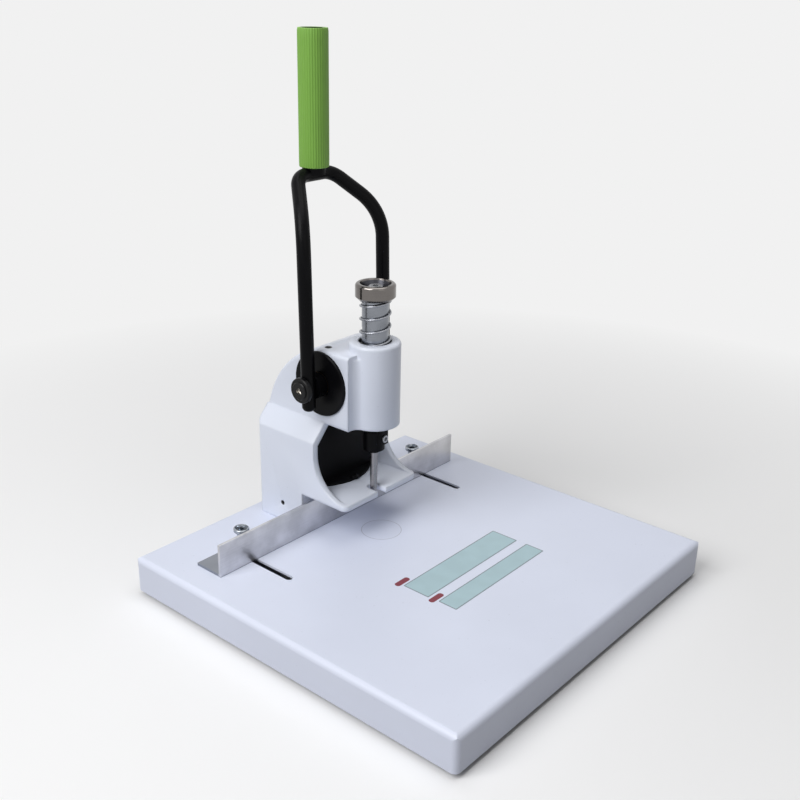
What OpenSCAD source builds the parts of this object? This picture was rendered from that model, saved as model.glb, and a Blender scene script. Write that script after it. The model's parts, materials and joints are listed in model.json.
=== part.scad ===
// Hand-lever paper drill with a rack and pinion press.
// Millimetres, +Z up, +Y to the back. The origin is the middle of the base at the level
// that the rubber feet stand on.

/* [Base] */
// Width of the base, left to right
base_w = 358; // [320:2:420]
// Depth of the base, front to back
base_d = 350; // [330:2:420]
// Height of the base skirt
skirt_h = 31.5; // [28:0.5:40]
// Thickness of the folded base sheet
sheet_t = 2; // [1.5:0.1:3]
// Radius of the base's outer edges and corners
edge_r = 5; // [4:0.5:8]
// Width of the flanges turned in along the lower side edges
flange_w = 26; // [24:1:34]
// Radius of a rubber foot
foot_r = 8; // [7:0.5:10]
// Height of a rubber foot below the skirt
foot_h = 5; // [4:0.5:8]
// Distance from the side of the base to the middle of a foot
foot_side = 14; // [13:1:18]
// Distance from the front of the base to the front feet
foot_front = 17; // [14:1:30]
// Distance from the back of the base to the back feet
foot_back = 34; // [20:1:50]
// Radius of the screws that hold the feet
foot_screw_r = 2; // [1.5:0.25:2.5]

/* [Cutting pad] */
// Radius of the cutting pad
pad_r = 18; // [16:1:24]
// Thickness of the cutting pad
pad_t = 8; // [5:0.5:10]
// Distance of the pad's middle in front of the punch axis
pad_offset = 10; // [6:1:13]
// Radial clearance of the pad in its cup
pad_gap = 0.08; // [0.05:0.01:0.1]

/* [Casting] */
// Distance from the back of the base to the punch axis
punch_back = 114; // [110:1:124]
// Width of the column
col_w = 96; // [88:1:110]
// Distance from the punch axis to the back of the column
col_back = 100; // [97:1:103]
// Distance from the punch axis to the front of the column under the foot
col_notch = 43; // [41:1:47]
// Thickness of the column's walls
wall_t = 5.5; // [4.5:0.5:7]
// Height of the gap for the paper under the foot
paper_gap = 35.5; // [33:0.5:45]
// Thickness of the foot plate
plate_t = 5; // [4:0.5:7]
// Distance from the punch axis to the front of the foot plate
plate_reach = 10.3; // [9:0.1:16]
// Width of the slot in the foot plate
slot_w = 11; // [10.8:0.2:14]
// Height of the throat between the foot plate and the head
throat_h = 63.5; // [62:0.5:75]
// Distance from the punch axis to the front edge of the cheeks
cheek_front = 27.9; // [25:0.1:31]
// Radius of the sweep from the cheeks into the foot plate
cheek_r = 36; // [30:1:38]
// Height of the sloped ledge between the column and the head
ledge_h = 15.5; // [12:0.5:20]
// Width of the head
head_w = 66; // [62:1:80]
// Height of the head
head_h = 67; // [66:1:78]
// Length of the head's flat top behind the punch axis
head_flat = 37; // [33:1:41]
// Radius of the arc at the back of the head
head_arc_r = 90; // [80:1:120]
// Radius of the head's rounded edges
head_edge_r = 3; // [2:0.5:5]
// Radius of the column's upright corners
col_corner_r = 6; // [4:0.5:8]
// Outer radius of the round boss that guides the spindle
boss_r = 22.5; // [20:0.5:25]
// Height of the boss above the head
boss_rise = 8; // [4:0.5:14]
// Radius of the fillets between the boss and the head
boss_fillet_r = 8; // [5:0.5:9]
// Radius of the oil holes in the top of the head
oil_r = 2.5; // [2:0.25:3]
// Distance of the oil holes from the middle plane
oil_x = 23.5; // [23:0.5:26]
// Radius of the bolts that hold the column
col_bolt_r = 4; // [3:0.5:5]
// Length of these bolts inside the column
col_bolt_l = 18; // [12:1:24]
// Distance from the column's inner walls to these bolts, front and back
col_bolt_in = 8.5; // [8:0.5:14]
// Radius of the small tapped hole in the column's left side
side_hole_r = 1.75; // [1.25:0.25:2.5]
// Distance from the back of the column to the tapped hole
side_hole_back = 32; // [26:1:40]
// Height of the tapped hole above the base
side_hole_rise = 18.5; // [12:0.5:30]

/* [Drive] */
// Height of the cross shaft above the bottom of the head
shaft_rise = 36.5; // [34:0.5:38]
// Radius of the cross shaft
shaft_r = 8; // [7:0.5:9]
// Size of the gear teeth
gear_module = 2; // [1.9:0.05:2.05]
// Number of teeth on the pinion
pinion_teeth = 24; // [23:1:24]
// Width of the pinion's toothed part
pinion_w = 20; // [16:1:22]
// Radius of the pinion's hubs
hub_r = 13; // [12:0.5:15]
// Amount by which each tooth of the rack and the pinion is thinned
tooth_thin = 0.3; // [0.2:0.05:0.4]
// Distance from the spindle's axis to the pitch line of the rack
rack_line = 8.5; // [8.3:0.1:8.6]
// Travel of the spindle
travel = 37; // [30:0.1:37]
// Radius of the side caps
cap_r = 29; // [27.9:0.1:30]
// Thickness of the side caps outside the head
cap_t = 2.5; // [2:0.5:6]
// Length of the side caps' spigots inside the head
spigot_l = 12; // [8:1:12]
// Outer radius of the shaft's bushes
bush_r = 11; // [10:0.5:12]
// Radial running clearance of the shaft and of the spindle
running = 0.04; // [0.02:0.01:0.08]

/* [Spindle] */
// Radius of the spindle
spindle_r = 11.5; // [11.4:0.1:11.6]
// Gap left between the top cap and the boss when the spindle is all the way down
cap_spare = 0.4; // [0.3:0.1:4]
// Radius of the top cap
top_cap_r = 17.3; // [16.8:0.1:20]
// Height of the top cap
top_cap_h = 13.5; // [10:0.5:16]
// Radius of the recess in the top cap
top_recess_r = 13.4; // [10:0.2:13.6]
// Depth of the recess in the top cap
top_recess_d = 6; // [4:0.5:7]
// Radius of the screw that holds the top cap
top_screw_r = 4; // [3:0.5:5]
// Diameter of the spring's wire
wire_d = 1.9; // [1.4:0.1:2]
// Mean radius of the spring's coils
coil_r = 12.8; // [12.7:0.1:13.2]
// Rise of one open coil of the spring at rest
coil_pitch = 11.5; // [10:0.5:14]
// Rise of one closed coil at the spring's ends
end_pitch = 1.2; // [0.6:0.1:2]
// Number of coils closed at each end
end_turns = 0.7; // [0.5:0.1:0.8]
// Depth of the spring's seat inside the boss
seat_d = 12; // [10:0.5:13]
// Direction in which the spring's upper end points
coil_angle = 167; // [0:1:359]

/* [Punch] */
// Radius of the chuck
chuck_r = 9.5; // [9:0.25:10]
// Gap left between the chuck's shoulder and the foot plate when the spindle is all the way down
chuck_spare = 1; // [0.5:0.1:3]
// Radius of the chuck's nose
nose_r = 4.8; // [4.4:0.1:4.9]
// Length of the chuck's nose
nose_l = 3; // [3:0.5:5]
// Outer radius of the hollow punch
punch_r = 3.25; // [2.5:0.25:4]
// Wall of the hollow punch
punch_wall = 0.75; // [0.5:0.05:1]
// Depth of the punch in the chuck
punch_grip = 20; // [18:1:22]
// Width of the ear on the chuck's front that holds the clamp screw
ear_w = 11; // [10:0.5:12]
// Distance from the punch axis to the ear's face
ear_out = 12.4; // [11.5:0.1:14]
// Height of the clamp screw above the chuck's lower end
clamp_rise = 15.5; // [13:0.5:17]
// Radius of the clamp screw
clamp_r = 2.5; // [2:0.25:3]
// Radius of the clamp screw's flat head
clamp_head_r = 3.3; // [3.1:0.1:4]
// Height of the clamp screw's head
clamp_head_h = 1.2; // [0.8:0.1:2]
// Radius of the guide screw's thread in the boss
guide_r = 3; // [2.5:0.5:4]
// Radius of the guide screw's tip
guide_tip_r = 2.2; // [1.6:0.2:2.4]
// Height of the guide screw above the bottom of the head
guide_rise = 11.5; // [8:0.5:12]
// Direction of the guide screw around the spindle
guide_angle = -30; // [-40:1:-24]

/* [Handle] */
// Radius of the fork's rod
rod_r = 6; // [5:0.25:7]
// Length of the collars between the side caps and the fork
collar_l = 6.4; // [6:0.1:10]
// Radius of the collars
collar_r = 11; // [10.4:0.2:13]
// Radius of the washers outside the fork
fork_washer_r = 9; // [8:0.2:10]
// Length of the fork's legs below the shaft
leg_tail = 21; // [17:1:24]
// Height of the fork's upper bend above the shaft
leg_rise = 137.7; // [120:0.1:160]
// Distance that the legs lean back over this height
leg_back = 3.6; // [0:0.1:8]
// Distance that the top of the fork lies behind the ends of its legs
fork_back = 34.4; // [25:0.2:45]
// Rise of the fork from its upper bend to its crosspiece
fork_rise = 32.8; // [26:0.2:50]
// Half the width of the fork's crosspiece
fork_top = 20; // [18:0.2:26]
// Radius of the bend at the top of each leg
bend_r = 48; // [24:1:50]
// Radius of the bend into the crosspiece
corner_r = 18; // [8:1:18]
// Radius of the fork's bolts
fork_bolt_r = 3; // [2.5:0.25:3.5]
// Depth of the fork's bolts in the shaft
fork_bolt_in = 16; // [10:1:20]
// Radius of the heads of the fork's bolts
fork_head_r = 11.2; // [9:0.2:12]
// Height of the heads of the fork's bolts
fork_head_h = 5; // [4.5:0.5:6]
// Length of the grip
grip_l = 111.2; // [90:0.2:140]
// Outer radius of the grip
grip_r = 12.8; // [12.4:0.2:16]
// Wall of the grip
grip_wall = 2.5; // [2:0.25:3]
// Number of ribs around the grip
grip_ribs = 36; // [24:2:44]
// Depth of the grooves between the ribs
rib_d = 0.4; // [0.2:0.1:0.6]
// Wall of the tube inside the grip
stem_wall = 2; // [1.5:0.25:3]

/* [Back fence] */
// Length of the fence
fence_l = 310; // [260:2:330]
// Distance of the fence's middle to the right of the punch axis
fence_shift = 3; // [0:1:6]
// Height and depth of the fence's angle
fence_leg = 30; // [28:0.5:32]
// Thickness of the fence's angle
fence_t = 2.5; // [2:0.25:3]
// Distance from the punch axis to the fence's front face at rest
fence_gap = 34; // [33.5:0.5:35]
// Distance that the fence slides to the front
fence_travel = 30; // [20:1:30]
// Distance of the fence's screws from the middle plane
fence_screw_x = 114; // [90:1:120]
// Distance of the fence's screws behind its front face
fence_screw_in = 16; // [14:0.5:18]
// Radius of the thread of the fence's screws
fence_screw_r = 3; // [2.5:0.25:4]
// Radius of the neck of the fence's screws
fence_neck_r = 4; // [4:0.25:5]
// Length of the neck of the fence's screws
fence_neck_l = 20; // [8:1:24]
// Radius of the heads of the fence's screws
fence_head_r = 6.8; // [6:0.2:8]
// Height of the heads of the fence's screws
fence_head_h = 3.6; // [3:0.2:6]
// Distance that the slots run in front of the screws' front position
slot_spare = 28; // [10:1:30]

/* [Throat cover] */
// Distance from the punch axis to the front of the cover
cover_in = 34.5; // [33:0.5:37]
// Thickness of the cover
cover_t = 2; // [1.5:0.25:2.5]
// Length of the cover's tab on the foot plate
tab_l = 16; // [12:0.5:17]
// Width of the cover's tab
tab_w = 16; // [12:1:24]
// Radius of the cover's screw
cover_screw_r = 2; // [1.5:0.25:2.5]

/* [Hidden] */
$fn = 96;

// A cut runs this far past the face that it opens
past = 1;
// Clearance of screws in plain holes, of parts set against each other and of moving faces
screw_gap = 0.1;
set_gap = 0.02;
side_gap = 0.4;
// Depth of a screw's hole past the screw's end
screw_spare = 4;

// Levels, from the feet up
deck_z = foot_h + skirt_h;
plate_z = deck_z + paper_gap;
plate_top = plate_z + plate_t;
head_z = plate_top + throat_h;
head_top = head_z + head_h;
boss_top = head_top + boss_rise;
shaft_z = head_z + shaft_rise;
seat_z = boss_top - seat_d;
top_cap_z = boss_top + travel + cap_spare;

// Places from front to back
punch_y = base_d / 2 - punch_back;
plate_front = punch_y - plate_reach;
notch_y = punch_y + col_notch;
cheek_y = punch_y + cheek_front;
back_y = punch_y + col_back;
head_front = punch_y + 0.5;
cover_y = punch_y + cover_in;
pad_y = punch_y - pad_offset;
fence_y = punch_y + fence_gap;
fence_screw_y = fence_y + fence_screw_in;

// Half widths
col_half = col_w / 2;
head_half = head_w / 2;
inner_half = col_half - wall_t;

// Gear: addendum one module, dedendum one and a quarter
pitch_r = gear_module * pinion_teeth / 2;
tip_r = pitch_r + gear_module;
root_r = pitch_r - 1.25 * gear_module;
pressure = 20;
base_circle_r = pitch_r * cos(pressure);
tooth_pitch = PI * gear_module;
shaft_y = punch_y + rack_line + pitch_r;
gear_bore_r = tip_r + 1;
spigot_r = gear_bore_r - 0.05;

// Shaft and fork
hub_half = head_half - spigot_l - side_gap / 2;
cap_x = head_half + cap_t;
collar_x = cap_x + side_gap;
leg_x = collar_x + collar_l + rod_r;
saddle_d = rod_r / 2;
shaft_end = leg_x - rod_r - 1;
flat_half = shaft_r * 0.75;
oil_feed_r = 1.5;
lean = atan(leg_back / leg_rise);
washer_x = leg_x + rod_r + 0.5;
fork_z = shaft_z + leg_rise + fork_rise;
fork_y = shaft_y + leg_back + fork_back;
stem_r = grip_r - grip_wall - 0.05;
grip_z = fork_z + rod_r + set_gap;

// Spindle and punch
spindle_bore_r = spindle_r + running;
spring_bore_r = coil_r + wire_d / 2 + 0.65;
chip_r = punch_r + 0.75;
stub_r = 6;
stub_l = 18;
chuck_z = plate_top + travel + chuck_spare - nose_l;
punch_tip = deck_z + travel + 0.1;
clamp_z = chuck_z + clamp_rise;
guide_z = head_z + guide_rise;
guide_depth = 2.2;

//---------------------------------------------------------------------------- helpers

// Extrudes an outline drawn with Y across and Z up, centred on the middle plane
module across(w) {
    rotate([90, 0, 90]) linear_extrude(w, center = true) children();
}

// Extrudes an outline drawn with X across and Z up, from y0 back to y1
module along(y0, y1) {
    translate([0, y1, 0]) rotate([90, 0, 0]) linear_extrude(y1 - y0) children();
}

// Places a shape, drawn along +Z, so that it points along +X or -X
module outward(side) {
    rotate([0, side * 90, 0]) children();
}

// A copy on the right and one on the left, each drawn for the right side
module both_sides() {
    children();
    mirror([1, 0, 0]) children();
}

// A square with rounded corners, from (x0, y0) to (x1, y1)
module soft_square(x0, y0, x1, y1, r) {
    translate([x0 + r, y0]) square([x1 - x0 - 2 * r, y1 - y0]);
    translate([x0, y0 + r]) square([x1 - x0, y1 - y0 - 2 * r]);
    for (x = [x0 + r, x1 - r], y = [y0 + r, y1 - r]) translate([x, y]) circle(r);
}

// A cylinder along +Z between two levels
module cylinder_from(z0, z1, r) {
    translate([0, 0, z0]) cylinder(r = r, h = z1 - z0);
}

// A hexagonal prism along +Z with the given width across its flats
module hexagon(af, h) {
    cylinder(r = af / sqrt(3), h = h, $fn = 6);
}

// An outline with rounded upper corners, w wide and centred, from z0 up to z1
module arch(w, z0, z1, r) {
    translate([-w / 2, z0]) square([w, z1 - z0 - r]);
    translate([r - w / 2, z0]) square([w - 2 * r, z1 - z0]);
    for (side = [-1, 1]) translate([side * (w / 2 - r), z1 - r]) circle(r);
}

// A block with its upper edges and its upright corners rounded
module pan(w, d, z0, z1, r) {
    intersection() {
        along(-d / 2, d / 2) arch(w, z0, z1, r);
        across(w) arch(d, z0, z1, r);
        translate([0, 0, z0]) linear_extrude(z1 - z0) soft_square(-w / 2, -d / 2, w / 2, d / 2, r);
    }
}

//---------------------------------------------------------------------------- base

foot_places = [for (x = [-1, 1], y = [foot_front - base_d / 2, base_d / 2 - foot_back])
               [x * (base_w / 2 - foot_side), y]];
bolt_boss_r = col_bolt_r + 4;
bolt_places = [for (x = [-1, 1], y = [notch_y + wall_t + col_bolt_in, back_y - wall_t - col_bolt_in])
               [x * (inner_half - bolt_boss_r + 1), y]];
cup_wall = 2;
slot_gap = 0.25;

module base_tray() {
    color("whitesmoke") difference() {
        union() {
            difference() {
                pan(base_w, base_d, foot_h, deck_z, edge_r);
                translate([0, 0, -past])
                    pan(base_w - 2 * sheet_t, base_d - 2 * sheet_t, foot_h, deck_z - sheet_t + past,
                        edge_r - sheet_t);
            }
            // flanges that carry the feet
            for (side = [-1, 1])
                translate([side * (base_w - flange_w - sheet_t) / 2, 0, foot_h + sheet_t / 2])
                    cube([flange_w - sheet_t, base_d - 2 * edge_r, sheet_t], center = true);
            // cup for the cutting pad
            translate([0, pad_y, deck_z - pad_t - cup_wall])
                cylinder(r = pad_r + pad_gap + cup_wall, h = pad_t + cup_wall - sheet_t / 2);
        }
        translate([0, pad_y, deck_z - pad_t]) cylinder(r = pad_r + pad_gap, h = pad_t + past);
        // slots for the fence's screws
        for (side = [-1, 1]) translate([side * fence_screw_x, 0, deck_z - sheet_t - past]) {
            r = fence_screw_r + slot_gap;
            front = fence_screw_y - fence_travel - slot_spare;
            translate([0, front, 0]) cylinder(r = r, h = sheet_t + 2 * past);
            translate([0, fence_screw_y, 0]) cylinder(r = r, h = sheet_t + 2 * past);
            translate([-r, front, 0]) cube([2 * r, fence_screw_y - front, sheet_t + 2 * past]);
        }
        for (p = bolt_places) translate([p.x, p.y, deck_z - sheet_t - past])
            cylinder(r = col_bolt_r + screw_gap, h = sheet_t + 2 * past);
        for (p = foot_places) translate([p.x, p.y, foot_h - past])
            cylinder(r = foot_screw_r + screw_gap, h = sheet_t + 2 * past);
    }
}

foot_recess = 2.6;
foot_taper = 0.8;

module rubber_feet() {
    color("dimgray") for (p = foot_places) translate([p.x, p.y, 0]) difference() {
        cylinder(r1 = foot_r, r2 = foot_r - foot_taper, h = foot_h);
        cylinder_from(-past, foot_recess, 2 * foot_screw_r + 3 * screw_gap);
        cylinder(r = foot_screw_r + screw_gap, h = foot_h + past);
    }
}

module feet_screws() {
    head_z0 = foot_recess - 0.9 * foot_screw_r;
    color("silver") for (p = foot_places) translate([p.x, p.y, 0]) difference() {
        union() {
            cylinder_from(head_z0, foot_recess, 2 * foot_screw_r);
            cylinder_from(foot_recess, foot_h + sheet_t + screw_spare, foot_screw_r);
        }
        translate([0, 0, head_z0 - past]) hexagon(foot_screw_r, 1 + past);
    }
}

module cutting_pad() {
    color("white") translate([0, pad_y, deck_z - pad_t]) cylinder(r = pad_r, h = pad_t);
}

//---------------------------------------------------------------------------- casting

// Middle of the arc behind the head, which runs from the flat top to the column's back
arc_a = [punch_y + head_flat, head_top];
arc_b = [back_y, head_z + 1];
arc_chord = arc_b - arc_a;
arc_side = [-arc_chord.y, arc_chord.x] / norm(arc_chord);
arc_mid = (arc_a + arc_b) / 2
    - arc_side * sqrt(head_arc_r * head_arc_r - arc_chord * arc_chord / 4);

// Outline of the column from the side, with its foot plate and swept cheeks
module column_side() {
    difference() {
        translate([plate_front, deck_z]) square([back_y - plate_front, head_z + 0.5 - deck_z]);
        translate([plate_front - past, deck_z - past])
            square([notch_y - plate_front + past, plate_z - deck_z + past]);
        translate([cheek_y - cheek_r, plate_top + cheek_r]) circle(cheek_r);
        translate([plate_front - past, plate_top])
            square([max(cheek_y - cheek_r - plate_front, 0) + past, head_z]);
        translate([plate_front - past, plate_top + cheek_r])
            square([cheek_y - plate_front + past, head_z]);
    }
}

// Outline of the column from the front: straight sides and the sloped ledges
module column_front(half, z0, z1, narrow) {
    polygon([[-half, z0], [half, z0], [half, z1 - ledge_h], [narrow, z1],
             [-narrow, z1], [-half, z1 - ledge_h]]);
}

module column() {
    intersection() {
        across(col_w) column_side();
        along(plate_front, back_y)
            column_front(col_half, deck_z, head_z + 0.5, head_half + 1);
        column_plan();
    }
}

// The column seen from above, with its upright corners rounded
module column_plan() {
    translate([0, 0, deck_z]) linear_extrude(head_z + 1 - deck_z)
        soft_square(-col_half, plate_front, col_half, back_y, col_corner_r);
}

module head() {
    intersection() {
        along(head_front, back_y) {
            translate([-head_half, head_z]) square([head_w, head_h - head_edge_r]);
            translate([0, head_z])
                soft_square(-head_half, 0, head_half, head_h, head_edge_r);
        }
        translate([0, arc_mid.x, arc_mid.y]) rotate([0, 90, 0]) rotate_extrude($fn = 180)
            square_rim(head_arc_r, head_half, head_edge_r);
        translate([0, 0, head_z]) linear_extrude(head_h) {
            translate([-head_half, head_front]) square([head_w, head_h / 2]);
            soft_square(-head_half, head_front, head_half, back_y, head_edge_r);
        }
    }
}

// Half section of a disc whose rim has rounded edges
module square_rim(r, half, edge) {
    translate([0, -half]) square([r - edge, 2 * half]);
    translate([0, edge - half]) square([r, 2 * (half - edge)]);
    for (side = [-1, 1]) translate([r - edge, side * (half - edge)]) circle(edge);
}

module boss() {
    translate([0, punch_y, 0]) rotate_extrude() {
        edge = 2.5;
        translate([0, head_z]) square([boss_r, boss_top - head_z - edge]);
        translate([0, head_z]) square([boss_r - edge, boss_top - head_z]);
        translate([boss_r - edge, boss_top - edge]) circle(edge);
    }
    // fillets between the boss and the front of the head
    fy = head_front - boss_fillet_r;
    fx = sqrt(pow(boss_r + boss_fillet_r, 2) - pow(punch_y - fy, 2));
    both_sides() translate([0, 0, head_z]) linear_extrude(head_h - head_edge_r) difference() {
        polygon([[0, punch_y], [0, head_front + 1], [fx, head_front + 1], [fx, fy]]);
        translate([fx, fy]) circle(boss_fillet_r);
    }
}

// Level of the hollow's roof in the column, and half its width there
hollow_top = head_z - 0.5 * wall_t;
hollow_narrow = min(head_half - wall_t + 1.5, inner_half - 2);

// The hollow of the column, open to the base and to the throat
module column_hollow() {
    intersection() {
        along(plate_front - past, back_y - wall_t)
            column_front(inner_half, deck_z - past, hollow_top, hollow_narrow);
        across(col_w) union() {
            translate([notch_y + wall_t, deck_z - past])
                square([back_y - notch_y - 2 * wall_t, head_z - deck_z]);
            translate([plate_front - past, plate_top])
                square([back_y - plate_front, head_z]);
        }
    }
    // the hollow behind the gear
    intersection() {
        across(head_w - 2 * wall_t - 2)
            translate([shaft_y + gear_bore_r + wall_t, head_z - 2 * wall_t])
                square([back_y - shaft_y - gear_bore_r - 2 * wall_t, head_h]);
        translate([0, arc_mid.x, arc_mid.y]) rotate([0, 90, 0])
            cylinder(r = head_arc_r - wall_t, h = col_w, center = true, $fn = 180);
    }
}

module frame_casting() {
    hole_l = col_bolt_l + screw_spare;
    color("whitesmoke") difference() {
        union() {
            difference() {
                union() {
                    column();
                    head();
                }
                column_hollow();
            }
            boss();
            // bosses for the bolts from below
            for (p = bolt_places) translate([p.x, p.y, 0])
                cylinder_from(deck_z, deck_z + hole_l + 2 * col_bolt_r, bolt_boss_r);
        }
        // bore for the spindle, seat for the spring and bore for the gear
        translate([0, punch_y, 0]) {
            cylinder_from(head_z - past, boss_top + past, spindle_bore_r);
            cylinder_from(seat_z, boss_top + past, spring_bore_r);
        }
        on_shaft() outward(1) cylinder(r = gear_bore_r, h = head_w + 2 * past, center = true);
        // slot for the punch, open to the front of the foot plate
        translate([0, punch_y, plate_z - past]) {
            cylinder(r = slot_w / 2, h = plate_t + 2 * past);
            translate([-slot_w / 2, -plate_reach - past, 0])
                cube([slot_w, plate_reach + past, plate_t + 2 * past]);
        }
        for (side = [-1, 1]) translate([side * oil_x, shaft_y, shaft_z])
            cylinder(r = oil_r, h = head_h);
        for (p = bolt_places) translate([p.x, p.y, 0])
            cylinder_from(deck_z - past, deck_z + hole_l, col_bolt_r + screw_gap);
        translate([0, punch_y, guide_z]) rotate([0, 90, guide_angle])
            cylinder(r = guide_r + screw_gap, h = boss_r + past);
        translate([-col_half - past, back_y - side_hole_back, deck_z + side_hole_rise]) outward(1)
            cylinder(r = side_hole_r, h = wall_t + 2 * past);
        translate([0, cover_screw_y, 0])
            cylinder_from(plate_z - past, plate_top + past, cover_screw_r + screw_gap);
    }
}

module column_bolts() {
    head = 1.3 * col_bolt_r;
    color("silver") for (p = bolt_places) translate([p.x, p.y, 0]) {
        translate([0, 0, deck_z - sheet_t - head]) hexagon(3.25 * col_bolt_r, head);
        cylinder_from(deck_z - sheet_t - 0.5, deck_z + col_bolt_l, col_bolt_r);
    }
}

//---------------------------------------------------------------------------- throat cover

cover_screw_y = cover_y - tab_l + tab_w / 3.5;

module throat_cover() {
    color("black") difference() {
        union() {
            along(cover_y, cover_y + cover_t) intersection() {
                column_front(inner_half - side_gap, plate_top, hollow_top - side_gap,
                             hollow_narrow - side_gap);
                translate([-col_half, plate_top]) square([col_w, throat_h - side_gap]);
            }
            translate([0, 0, plate_top]) linear_extrude(cover_t)
                soft_square(-tab_w / 2, cover_y - tab_l, tab_w / 2, cover_y + cover_t, cover_t / 2);
        }
        translate([0, cover_screw_y, plate_top - past])
            cylinder(r = cover_screw_r + screw_gap, h = cover_t + 2 * past);
    }
}

module cover_screw() {
    color("black") translate([0, cover_screw_y, 0]) difference() {
        union() {
            cylinder_from(plate_z + 0.5, plate_top + cover_t + 0.5, cover_screw_r);
            translate([0, 0, plate_top + cover_t]) rotate_extrude() intersection() {
                translate([0, -3]) circle(r = 5.5);
                square([2 * cover_screw_r, 3]);
            }
        }
        translate([0, 0, plate_top + cover_t + 1]) hexagon(1.2 * cover_screw_r, 2);
    }
}

//---------------------------------------------------------------------------- back fence

module back_fence() {
    left = fence_shift - fence_l / 2;
    relief = col_half + 4;
    color("gainsboro") difference() {
        union() {
            translate([left, fence_y, deck_z]) cube([fence_l, fence_t, fence_leg]);
            translate([left, fence_y, deck_z]) cube([fence_l, fence_leg, fence_t]);
        }
        // relief that lets the fence pass the column
        translate([-relief, notch_y - 1, deck_z - past]) cube([2 * relief, fence_leg, fence_t + 2 * past]);
        for (side = [-1, 1]) translate([side * fence_screw_x, fence_screw_y, deck_z - past])
            cylinder(r = fence_screw_r + screw_gap, h = fence_t + 2 * past);
    }
}

nut_w = 14;
nut_t = 5;

module fence_screw(side) {
    neck_z = deck_z + fence_t;
    head_low = neck_z + fence_neck_l;
    dish_d = 0.4 * fence_head_h;
    dish_r = fence_head_r - 1.1;
    color("silver") translate([side * fence_screw_x, fence_screw_y, 0]) difference() {
        union() {
            cylinder_from(deck_z - sheet_t - nut_t - fence_screw_r, neck_z + 1, fence_screw_r);
            cylinder_from(neck_z, head_low + 1, fence_neck_r);
            translate([0, 0, head_low]) rotate_extrude() {
                edge = 0.8;
                translate([0, edge]) square([fence_head_r, fence_head_h - 2 * edge]);
                square([fence_head_r - edge, fence_head_h]);
                for (z = [edge, fence_head_h - edge]) translate([fence_head_r - edge, z]) circle(edge);
            }
        }
        translate([0, 0, head_low + fence_head_h - dish_d])
            cylinder(r1 = dish_r - 0.5, r2 = dish_r, h = dish_d + set_gap);
        translate([0, 0, head_low - 1]) hexagon(1.7 * fence_screw_r, fence_head_h);
    }
}

module fence_screw_left() {
    fence_screw(-1);
}

module fence_screw_right() {
    fence_screw(1);
}

module fence_nuts() {
    color("silver") for (side = [-1, 1])
        translate([side * fence_screw_x, fence_screw_y, deck_z - sheet_t - nut_t]) difference() {
            translate([-nut_w / 2, -nut_w / 2, 0]) cube([nut_w, nut_w, nut_t]);
            translate([0, 0, -past]) cylinder(r = fence_screw_r + running, h = nut_t + 2 * past);
        }
}

//---------------------------------------------------------------------------- drive

// Half the angle that a pinion tooth takes up at radius r
function involute_at(r) = let (a = acos(min(1, base_circle_r / r))) tan(a) * 180 / PI - a;
function tooth_half(r) = (tooth_pitch / 2 - tooth_thin) / (2 * pitch_r) * 180 / PI
    + involute_at(pitch_r) - involute_at(max(r, base_circle_r));

flank_steps = 5;
flank = concat([root_r], [for (i = [0:flank_steps])
                          base_circle_r + (tip_r - base_circle_r) * i / flank_steps]);
flank_n = len(flank);
// The pinion's outline: up one flank of each tooth and down the other
gear_points = [for (k = [0:pinion_teeth - 1], i = [0:2 * flank_n - 1])
    let (r = i < flank_n ? flank[i] : flank[2 * flank_n - 1 - i],
         side = i < flank_n ? -1 : 1,
         a = 360 * k / pinion_teeth + side * tooth_half(r))
    r * [cos(a), sin(a)]];

key_w = 5;
key_l = 30;
key_in = 3;
key_out = 2;

// The keyway's space around the shaft, from the shaft's axis outwards
module key_space(gap) {
    translate([-key_l / 2 - gap, -key_w / 2 - gap, shaft_r - key_in - gap])
        cube([key_l + 2 * gap, key_w + 2 * gap, key_in + key_out + 2 * gap]);
}

module on_shaft() {
    translate([0, shaft_y, shaft_z]) children();
}

module pinion() {
    color("slategray") on_shaft() difference() {
        union() {
            across(pinion_w) polygon(gear_points);
            outward(1) cylinder(r = hub_r, h = 2 * hub_half, center = true);
        }
        outward(1) cylinder(r = shaft_r + set_gap, h = head_w, center = true);
        translate([-head_half, -key_w / 2 - set_gap, 0])
            cube([head_w, key_w + 2 * set_gap, shaft_r + key_out + set_gap]);
    }
}

module pinion_key() {
    color("silver") on_shaft() key_space(0);
}

module cross_shaft() {
    color("silver") on_shaft() difference() {
        outward(1) cylinder(r = shaft_r, h = 2 * shaft_end, center = true);
        key_space(set_gap);
        for (side = [-1, 1]) {
            // two flats at each end drive the fork's collars
            for (z = [-1, 1])
                translate([side * (collar_x + shaft_end / 2), 0, z * (flat_half + shaft_r / 2)])
                    cube([shaft_end, 3 * shaft_r, shaft_r], center = true);
            outward(side) cylinder_from(shaft_end - fork_bolt_in - screw_spare, shaft_end + past,
                                        fork_bolt_r + running);
        }
    }
}

module side_cap(side) {
    edge = 0.8;
    bore = bush_r + set_gap;
    color("black") on_shaft() difference() {
        outward(side) rotate_extrude() {
            polygon([[bore, head_half], [cap_r, head_half], [cap_r, head_half + cap_t - edge],
                     [cap_r - edge, head_half + cap_t], [bore, head_half + cap_t]]);
            translate([bore, head_half - spigot_l]) square([spigot_r - bore, spigot_l]);
        }
        translate([side * oil_x, 0, 0]) cylinder(r = oil_feed_r, h = cap_r);
    }
}

module side_cap_left() {
    side_cap(-1);
}

module side_cap_right() {
    side_cap(1);
}

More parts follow.
